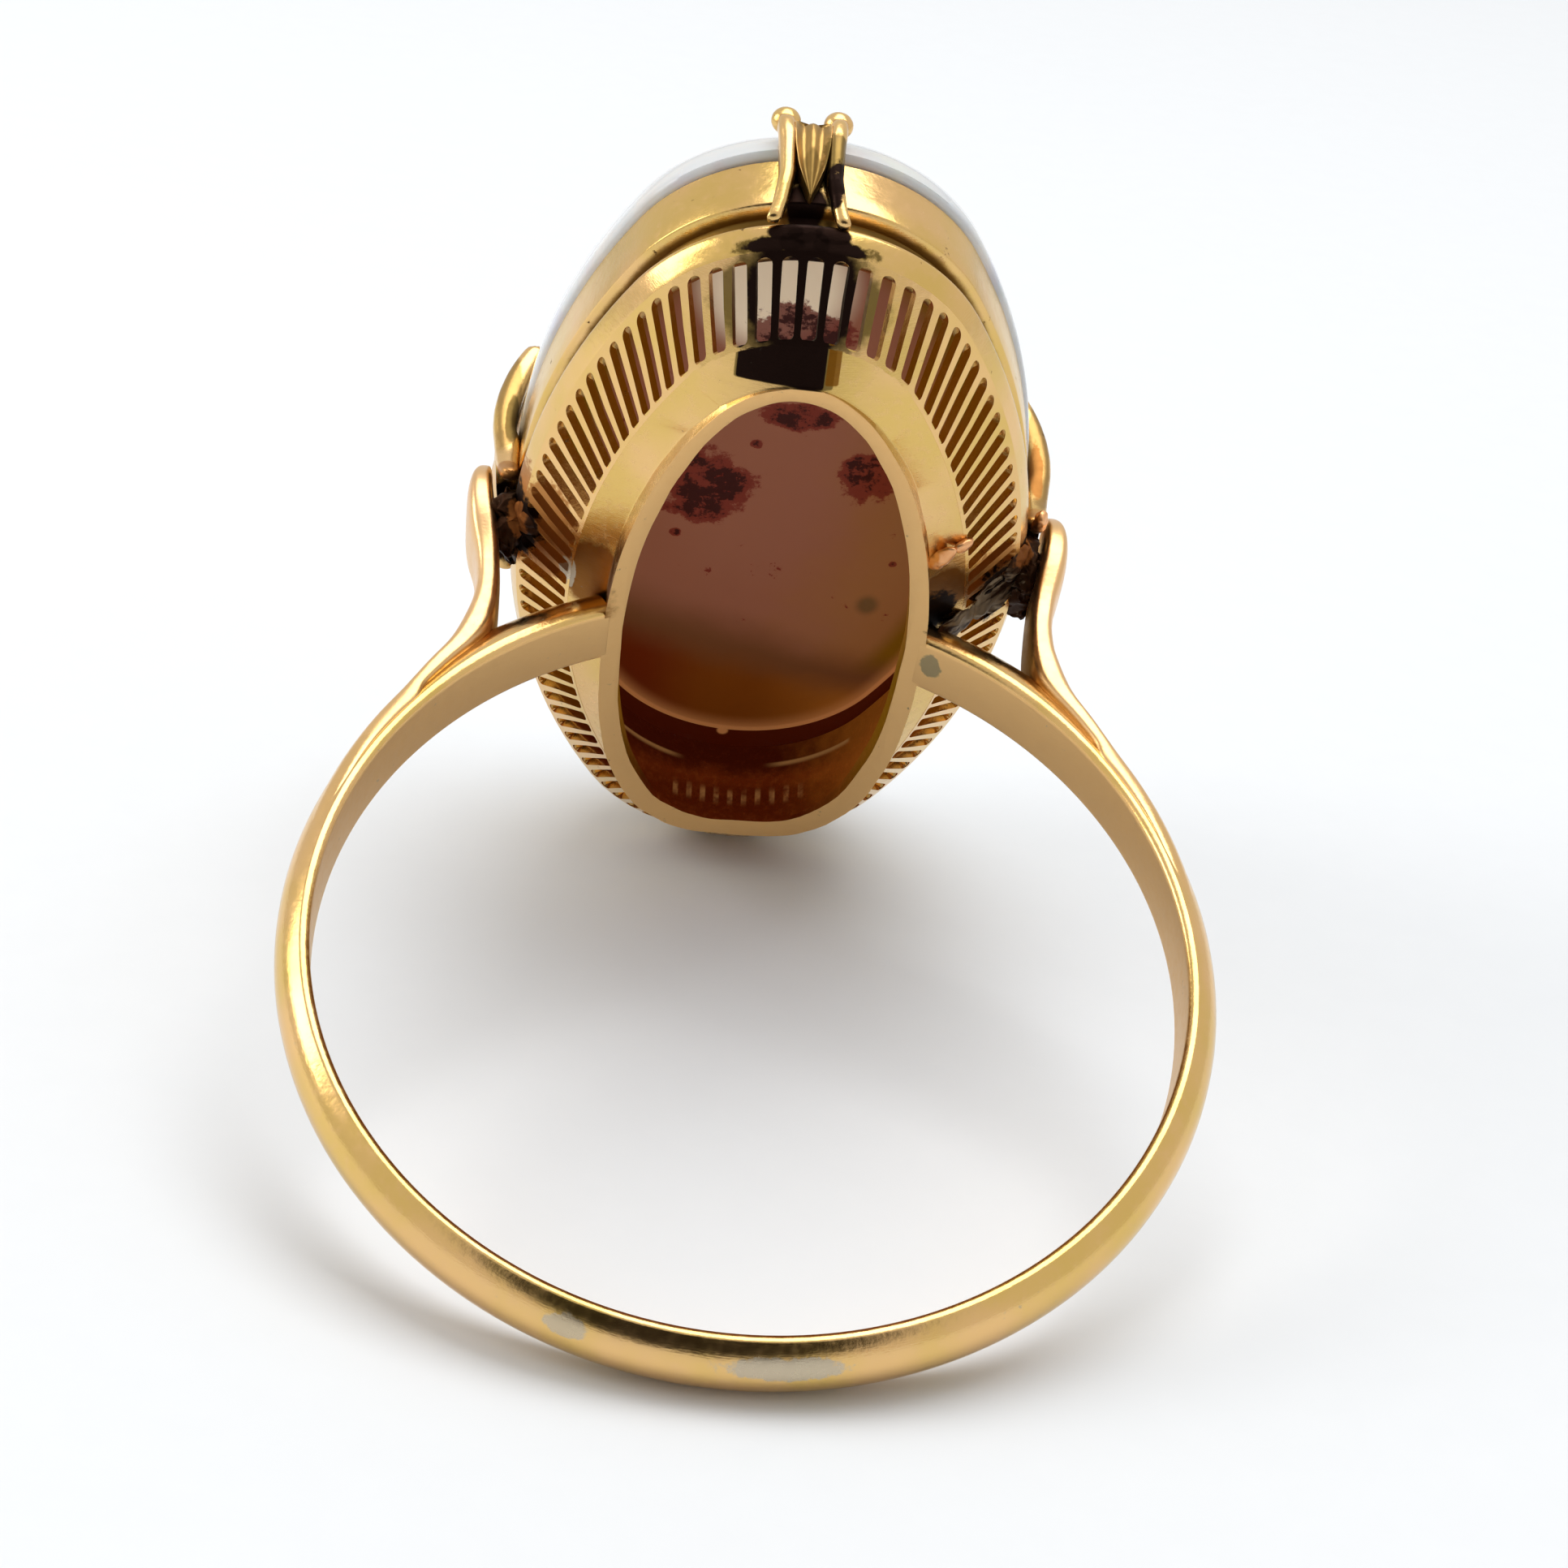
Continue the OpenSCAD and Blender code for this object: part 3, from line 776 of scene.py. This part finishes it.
def radialWidth(width, angle):
    # distance from the middle to the oval, angle from the long axis
    joinX, joinY = endArc(width) * math.cos(sideHalf), endCentre + endArc(width) * math.sin(sideHalf)
    if math.sin(angle) * joinY < math.cos(angle) * joinX:
        ahead, aside = endCentre * math.cos(angle), endCentre * math.sin(angle)
        return ahead + math.sqrt(endArc(width) ** 2 - aside ** 2)
    ahead, aside = sideCentre * math.sin(angle), sideCentre * math.cos(angle)
    return math.sqrt(sideArc(width) ** 2 - aside ** 2) - ahead


def slotAngle(share):
    # angle from the long axis at that share of a quarter of the oval half way up the gallery
    width = bars["middleWidth"]
    endRun = endArc(width) * endHalf
    run = share * (endRun + sideArc(width) * sideHalf)
    if run < endRun:
        turn = run / endArc(width)
        return math.atan2(endArc(width) * math.sin(turn), endCentre + endArc(width) * math.cos(turn))
    turn = sideHalf - (run - endRun) / sideArc(width)
    return math.atan2(sideArc(width) * math.cos(turn) - sideCentre, sideArc(width) * math.sin(turn))


def wallPlace(angle, rise):
    # place on the gallery's wall, rise from 0 at its low edge to 1
    (lowWidth, lowZ), (highWidth, highZ) = bars["low"], bars["high"]
    far = radialWidth(lowWidth + (highWidth - lowWidth) * rise, angle)
    shorter = 1 - (1 - basket["shorter"]) * clamp(1 - rise)
    return Vector((far * math.sin(angle), far * math.cos(angle) * shorter, lowZ + (highZ - lowZ) * rise))


def fitBar(piece, share, mirrorX, mirrorY, length):
    # carries each vertex of a flat copy to its place on the wall between two radial planes
    half, slot = bars["halfBar"], bars["slotWidth"] / 2
    step = 1 / bars["perQuarter"] / 2
    turnStep, riseStep = bars["probe"]
    start, end = slotAngle(share - step), slotAngle(share + step)
    for vertex in piece.data.vertices:
        x, y, z = vertex.co
        rise = y / length
        room = (wallPlace(end, rise) - wallPlace(start, rise)).length
        side = share + math.copysign(step, x)
        nearTip = clamp(1 - side * bars["perQuarter"] / bars["wideFor"])
        slotHalf = (bars["slotWidth"] + (bars["wideSlot"] - bars["slotWidth"]) * nearTip) / 2
        barHalf = room / 2 - slotHalf
        away = abs(x)
        away = away / half * barHalf if away <= half else barHalf + (away - half) / slot * slotHalf
        angle = start + (end - start) * (0.5 + math.copysign(away, x) / room)
        place = wallPlace(angle, rise)
        ahead = wallPlace(angle + turnStep, rise) - place
        up = wallPlace(angle, rise + riseStep) - place
        out = up.cross(ahead).normalized()
        if out.z > 0:
            out = -out
        place = place + out * (z + bars["proud"])
        place = Vector((place.x * mirrorX, -place.y * mirrorY, place.z))
        # cut by hand, a little wavy
        wave = noise.noise_vector(place * bars["swayPatches"]) * bars["sway"] * rise * (1 - rise)
        vertex.co = place + Vector((wave.x, wave.y, 0))


def makeGallery():
    length = math.hypot(bars["high"][0] - bars["low"][0], bars["high"][1] - bars["low"][1])
    first = makeBar(length)
    count = bars["perQuarter"]
    made = []
    for k in range(count):
        for mirrorX in (1, -1):
            for mirrorY in (1, -1):
                bar = copyOf(first, "bar")
                fitBar(bar, (k + 0.5) / count, mirrorX, mirrorY, length)
                made.append(bar)
    bpy.data.objects.remove(first)
    whole = joinPieces("galleryBars", made)
    editAll(whole)
    bpy.ops.mesh.normals_make_consistent(inside=False)
    endEdit()
    return whole


gallery = makeGallery()
finishPiece(gallery, barGold, "ring_mount", smoothUnder=30, inner=insideGold)

# Outer arms with their leaves

arm = {
    "side": [   # height, inner, outer
        (5.4, 6.95, 7.38), (6.3, 6.34, 6.86), (6.8, 5.93, 6.54), (7.3, 5.64, 6.36), (8.0, 5.58, 6.15),
        (8.7, 5.60, 6.10), (9.4, 5.67, 6.20), (9.9, 5.73, 6.36), (10.3, 5.80, 6.44), (10.7, 5.88, 6.49),
        (11.05, 5.94, 6.50), (11.35, 5.98, 6.48), (11.7, 6.0, 6.42), (12.0, 6.05, 6.30), (12.2, 6.1, 6.2)],
    "front": [   # height, half width
        (1.6, 0.70), (3.6, 0.75), (5.0, 0.78), (8.0, 0.78), (9.0, 0.74), (9.6, 0.82), (10.2, 0.98),
        (10.7, 1.04), (11.2, 0.98), (11.6, 0.8), (11.95, 0.5), (12.2, 0.12)],
    "rings": 38, "step": 0.28, "tip": [12.08, 12.15, 12.2], "points": 28, "power": 5,
    "merge": (1.6, 6.2), "under": (0.15, 0.06),   # where it grows out of the shank, how deep it lies in it
}


def makeArm():
    loops = []
    low, high = arm["merge"]
    boxed, circle = roundedPlaces(arm["points"], arm["power"]), roundedPlaces(arm["points"], 2)
    for height in [low + arm["step"] * k for k in range(arm["rings"])] + arm["tip"]:
        inner, outer = between(arm["side"], height, 1), between(arm["side"], height, 2)
        half = between(arm["front"], height, 1)
        merged = clamp((high - height) / (high - low))
        if height < arm["side"][0][0]:
            # low down it follows the inside and the outside of the shank
            inner = math.sqrt(fingerRadius ** 2 - height ** 2) + arm["under"][0]
            outer = math.sqrt((fingerRadius + shank["thick"]) ** 2 - height ** 2) - arm["under"][1] * merged
        loop = []
        for (boxX, boxY), (roundX, roundY) in zip(boxed, circle):
            free = Vector(((inner + outer) / 2 + (outer - inner) / 2 * boxX, half * boxY, height))
            crowned = Vector((inner + (outer - inner) * max(0, roundX), half * roundY, height))
            loop.append(free.lerp(crowned, merged))
        loops.append(loop)
    piece = loft("arm", loops)
    subdivide(piece, 1)
    return piece


rightArm = makeArm()
leftArm = copyOf(rightArm, "leftArm")
turnPiece(leftArm, 180)
arms = joinPieces("shoulderArms", [rightArm, leftArm])
finishPiece(arms, armGold, "ring_mount", smoothUnder=50)

# Claws

claw = {
    "base": 10.65,   # heights below are above this
    "sideRows": [   # height, inner, outer, from the claw's place on the oval
        (0.15, -0.1, 0.28), (0.6, -0.05, 0.42), (1.35, -0.05, 0.52), (1.74, 0.0, 0.57), (1.9, 0.1, 0.6),
        (2.4, 0.08, 0.62), (2.95, 0.0, 0.56), (3.5, -0.12, 0.42), (4.0, -0.29, 0.22), (4.35, -0.42, 0.04)],
    "endRows": [
        (-0.2, -0.05, 0.16), (0.6, -0.05, 0.4), (1.35, -0.05, 0.52), (1.74, 0.0, 0.57), (1.98, 0.2, 0.6),
        (2.33, 0.04, 0.55), (2.6, -0.14, 0.40), (2.8, -0.3, 0.14)],
    "sideProng": [   # height, distance of a prong's middle from the claw's middle
        (0.15, 1.45), (0.5, 1.22), (1.1, 1.02), (1.8, 0.95), (2.9, 0.98), (3.8, 1.04), (4.6, 1.04)],
    "endProng": [(-0.2, 0.70), (0.2, 0.58), (0.9, 0.47), (1.8, 0.48), (2.5, 0.53), (3.8, 0.56)],
    "sideHalf": 0.24, "endHalf": 0.18,   # half width of a prong
    "prongRings": 22, "prongPoints": 14, "prongPower": 3,
    "slimmer": (0.8, 0.12, 1.05),   # share of its width at its foot, more for each mm, most
    "sideBead": (-0.13, 4.2, 1.06, 0.2),   # outwards, height, sideways, radius
    "highBead": (0.2, 2.58, 0.52, 0.3), "lowBead": (0.02, 2.62, 0.56, 0.27),
    "beadPress": 0.85, "beadWorn": 0.012,
    "valley": [   # height, half width
        (0.4, 0.02), (0.75, 0.16), (1.1, 0.28), (1.6, 0.36), (2.8, 0.42), (3.6, 0.5)],
    "sideValley": (2.2, 3.6), "endValley": (1, 2.28),   # how much wider, and height of its top
    "valleyRings": 17, "valleyPoints": 18, "sunk": 0.11, "cupped": 0.05,
    "flute": 0.045, "fluteFrom": 0.3,   # height of the flutes, half width from which they have all of it
    "back": 0.03, "leastThick": 0.08, "backWidth": 0.98,
}


def makeProng(rows, spread, thick, side):
    loops = []
    least, more, most = claw["slimmer"]
    for k in range(claw["prongRings"] + 1):
        height = rows[0][0] + (rows[-1][0] - rows[0][0]) * k / claw["prongRings"]
        inner, outer = between(rows, height, 1), between(rows, height, 2)
        middle, half = (inner + outer) / 2, (outer - inner) / 2
        across = side * between(spread, height, 1)
        wide = thick * min(most, least + more * max(0, height))
        loops.append([(middle + half * x, across + wide * y, claw["base"] + height)
                      for x, y in roundedPlaces(claw["prongPoints"], claw["prongPower"])])
    return loft("prong", loops)


def makeBead(outwards, height, sideways, radius, side):
    # a worn bead: a ball pressed flat against the stone
    deselect()
    bpy.ops.mesh.primitive_uv_sphere_add(segments=20, ring_count=12, radius=radius,
                                         location=(outwards, side * sideways, claw["base"] + height))
    ball = bpy.context.object
    editAll(ball)
    bpy.ops.transform.resize(value=(claw["beadPress"], 1.0, 1.0), center_override=ball.location)
    bpy.ops.transform.vertex_random(offset=claw["beadWorn"], seed=3)
    endEdit()
    applyPlace(ball)
    return ball


def makeValley(rows, wider, top):
    # the sunken fluted face between the prongs, down to its point
    loops = []
    rings, points, foot = claw["valleyRings"], claw["valleyPoints"], claw["valley"][0][0]
    for k in range(rings + 1):
        height = foot + (top - foot) * k / rings
        inner, outer = between(rows, height, 1), between(rows, height, 2)
        half = between(claw["valley"], height, 1) * wider
        sunk = outer - claw["sunk"]
        loop = []
        for j in range(points + 1):
            share = -1 + 2 * j / points
            flute = claw["flute"] * math.cos(share * 2 * math.pi) * min(1, half / claw["fluteFrom"])
            loop.append((sunk + flute + claw["cupped"] * share ** 2, half * share, claw["base"] + height))
        back = min(inner + claw["back"], sunk - claw["leastThick"])
        for share in (1, 0.5, 0, -0.5, -1):   # its plain back
            loop.append((back, half * share * claw["backWidth"], claw["base"] + height))
        loops.append(loop)
    return loft("valley", loops)


def makeClaw(name, kind, beadKind):
    rows, spread = claw[kind + "Rows"], claw[kind + "Prong"]
    parts = []
    for side in (-1, 1):
        parts.append(makeProng(rows, spread, claw[kind + "Half"], side))
        parts.append(makeBead(*claw[beadKind + "Bead"], side))
    parts.append(makeValley(rows, *claw[kind + "Valley"]))
    piece = joinPieces(name, parts)
    subdivide(piece, 1)
    return piece


clawPlaces = [   # name, kind, bead, distance from the middle, degrees round the oval, shift sideways
    ("rightClaw", "side", "side", 5.5, 0, 0),
    ("leftClaw", "side", "side", 5.5, 180, 0),
    ("highClaw", "end", "high", 9.5, -90, -0.2),   # was set a little to the left
    ("lowClaw", "end", "low", 9.48, 90, 0)]

clawPieces = []
for name, kind, beadKind, distance, degrees, shift in clawPlaces:
    piece = makeClaw(name, kind, beadKind)
    piece.location = (distance, 0, 0)
    applyPlace(piece)
    turnPiece(piece, degrees)
    piece.location = (shift, 0, 0)
    applyPlace(piece)
    clawPieces.append(piece)
claws = joinPieces("claws", clawPieces)
finishPiece(claws, clawGold, "ring_mount", smoothUnder=45)

# Solder lumps and burnt dirt where arms, claws and basket meet; the dark burnt lumps also stand in as painted
# shade in the hollows there

lumps = {
    "copper": [   # place, half size, degrees about the finger's line and about the height
        ((3.42, -2.55, 8.60), (0.20, 0.40, 0.12), 0, 35),
        ((3.85, -2.8, 8.78), (0.24, 0.14, 0.11), -40, 0),
        ((5.72, -1.5, 10.85), (0.16, 0.30, 0.22), 0, 10)],
    "burntAndShade": [
        ((-5.5, -0.3, 10.42), (0.42, 1.0, 0.56), 0, 0),
        ((-5.2, -1.0, 10.0), (0.4, 0.4, 0.12), 45, 0),
        ((5.55, -0.2, 10.42), (0.42, 1.0, 0.56), 0, 0),
        ((4.1, -0.35, 8.8), (0.66, 0.36, 0.09), -45, 0),
        ((4.85, -0.45, 9.53), (0.66, 0.5, 0.10), -45, -8),
        ((5.3, -1.0, 10.05), (0.42, 0.5, 0.12), -50, 0)],
    "copperRough": 0.45, "burntAndShadeRough": 1,
    "coarse": 0.2, "coarseScale": 2.3, "fine": 0.09, "fineScale": 7,
    "thin": 0.25,   # lumps thinner than this are less rough
}


def makeLump(place, size, tilt, turn, rough):
    deselect()
    bpy.ops.mesh.primitive_ico_sphere_add(subdivisions=5, radius=1)
    lump = bpy.context.object
    lump.scale = size
    applyPlace(lump)
    calm = rough * min(1, min(size) / lumps["thin"])
    for vertex in lump.data.vertices:
        start = vertex.co + Vector(place)
        coarse = noise.noise_vector(start * lumps["coarseScale"]) * lumps["coarse"]
        fine = noise.noise_vector(start * lumps["fineScale"]) * lumps["fine"]
        vertex.co += (coarse + fine) * calm
    lump.rotation_euler = (0, math.radians(tilt), math.radians(turn))
    lump.location = place
    applyPlace(lump)
    return lump


for key, name, matter in (("copper", "copperSolder", copperGold), ("burntAndShade", "burntSolderAndShade", burntAndShadeGold)):
    made = joinPieces(name, [makeLump(*row, lumps[key + "Rough"]) for row in lumps[key]])
    finishPiece(made, matter, "ring_mount", smoothUnder=60)

# Opal

opal = {
    "seat": opalLook["seat"], "girdle": 12.52, "height": 4.585, "points": 160,
    "back": 0.35, "backWidth": 4.95, "backRings": 6,
    "ledge": (0.95, 0.97), "edge": (0.992, 0.995), "edgeRise": 0.03,   # shares of the oval's width and length
    "frontRings": 19, "power": 2.2, "sink": 0.3, "narrow": 0.985,
}


def opalLoop(shareX, shareY, height):
    loop = []
    for k in range(opal["points"]):
        x, y = ovalPlace(oval["halfWidth"], 2 * math.pi * k / opal["points"])
        loop.append((x * shareX, y * shareY, height))
    return loop


def makeOpalStone():
    loops = []
    seat, narrow, rings = opal["seat"], opal["narrow"], opal["frontRings"]
    for k in range(1, opal["backRings"] + 1):
        turn = math.pi / 2 * k / opal["backRings"]
        share = math.sin(turn) * opal["backWidth"] / oval["halfWidth"]
        loops.append(opalLoop(share, share, seat - opal["back"] * math.cos(turn)))
    loops.append(opalLoop(*opal["ledge"], seat))
    loops.append(opalLoop(opal["edge"][0] * narrow, opal["edge"][1], seat + opal["edgeRise"]))
    sink = opal["sink"] / (1 + opal["sink"])
    for k in range(rings):
        s = math.sin(math.pi / 2 * k / rings)
        shareX = (1 - s ** opal["power"]) ** (1 / opal["power"]) * narrow
        shareY = math.sqrt((1 - ((s + opal["sink"]) / (1 + opal["sink"])) ** 2) / (1 - sink ** 2))
        loops.append(opalLoop(shareX, shareY, opal["girdle"] + opal["height"] * s))
    return loft("opalStone", loops)


opalStone = makeOpalStone()
finishPiece(opalStone, opalMatter, "opal", smoothUnder=60)

# Table, light and camera

tableLook = {"size": 1.2, "rough": 0.55, "shine": 0.3, "grain": 900,
             "pale": (0.77, 0.805, 0.85, 1), "paler": (0.81, 0.845, 0.89, 1)}


def makeTable():
    deselect()
    bpy.ops.mesh.primitive_plane_add(size=tableLook["size"], location=(0, 0, 0))
    table = bpy.context.object
    table.name = "table"
    sheet = Sheet("tablePaper", {"Roughness": tableLook["rough"], "Specular IOR Level": tableLook["shine"]})
    place = sheet.add("ShaderNodeTexCoord", {}, {}, 3)
    grain = sheet.noise(place, tableLook["grain"], 3)
    sheet.feed("Base Color", sheet.blend(grain * 0.5, tableLook["pale"], tableLook["paler"]))
    table.data.materials.append(sheet.material)


lamps = [   # name, place, size, watts, colour
    ("topPanel", (0.04, 0.06, 0.27), (0.24, 0.18), 0.44, (1.0, 0.98, 0.95)),
    ("leftPanel", (-0.17, 0.02, 0.10), (0.08, 0.10), 0.10, (1.0, 0.96, 0.90))]
lampAim = (0, 0, 0.008)


def makeLamp(name, place, size, watts, colour):
    deselect()
    bpy.ops.object.light_add(type="AREA", location=place)
    lamp = bpy.context.object
    lamp.name = name
    lamp.data.shape = "RECTANGLE"
    lamp.data.size, lamp.data.size_y = size
    lamp.data.energy = watts
    lamp.data.color = colour
    lamp.rotation_euler = (Vector(lampAim) - Vector(place)).to_track_quat("-Z", "Y").to_euler()


room = {"sky": (1.0, 0.985, 0.96), "strength": 0.78, "dark": (0.03, 0.025, 0.02),
        "towards": (-0.07, -0.86, 0.50), "inner": 0.93, "outer": 0.80}   # the dark place, as cosines round it


def makeRoom():
    # an even white tent with a dark place where the photographer stands
    world = bpy.data.worlds.new("softRoom")
    world.use_nodes = True
    bpy.context.scene.world = world
    nodes, links = world.node_tree.nodes, world.node_tree.links
    place = nodes.new("ShaderNodeTexCoord")
    facing = nodes.new("ShaderNodeVectorMath")
    facing.operation = "DOT_PRODUCT"
    facing.inputs[1].default_value = Vector(room["towards"]).normalized()
    links.new(place.outputs["Generated"], facing.inputs[0])
    share = nodes.new("ShaderNodeMapRange")
    share.interpolation_type = "SMOOTHSTEP"
    share.inputs["From Min"].default_value = room["outer"]
    share.inputs["From Max"].default_value = room["inner"]
    links.new(facing.outputs["Value"], share.inputs["Value"])
    mix = nodes.new("ShaderNodeMix")
    mix.data_type = "RGBA"
    mix.inputs[6].default_value = (*room["sky"], 1)
    mix.inputs[7].default_value = (*room["dark"], 1)
    links.new(share.outputs["Result"], mix.inputs[0])
    links.new(mix.outputs[2], nodes["Background"].inputs["Color"])
    nodes["Background"].inputs["Strength"].default_value = room["strength"]


makeTable()
makeRoom()
bpy.context.scene.view_settings.view_transform = "Standard"
for lamp in lamps:
    makeLamp(*lamp)
print("table, room and lamps ready")

shot = {"place": (-4.0746, -49.3054, -34.0889), "right": (0.9935, -0.11132, 0.0236),
        "down": (0.08682, 0.60735, -0.78968), "ahead": (0.07357, 0.7866, 0.61307), "lens": 70.68}


def makeCamera():
    camera = bpy.data.objects.new("camera", bpy.data.cameras.new("camera"))
    bpy.context.collection.objects.link(camera)
    camera.data.sensor_width = 36
    camera.data.sensor_fit = "HORIZONTAL"
    camera.data.lens = shot["lens"]
    camera.data.clip_start = 0.001
    camera.data.clip_end = 10
    right, down, ahead = (Vector(shot[k]).normalized() for k in ("right", "down", "ahead"))
    turn = Matrix((right, -down, -ahead)).transposed()
    place = layDown @ Vector(shot["place"])
    camera.matrix_world = Matrix.Translation(place) @ (layTurn.to_3x3() @ turn).to_4x4()
    bpy.context.scene.camera = camera


makeCamera()
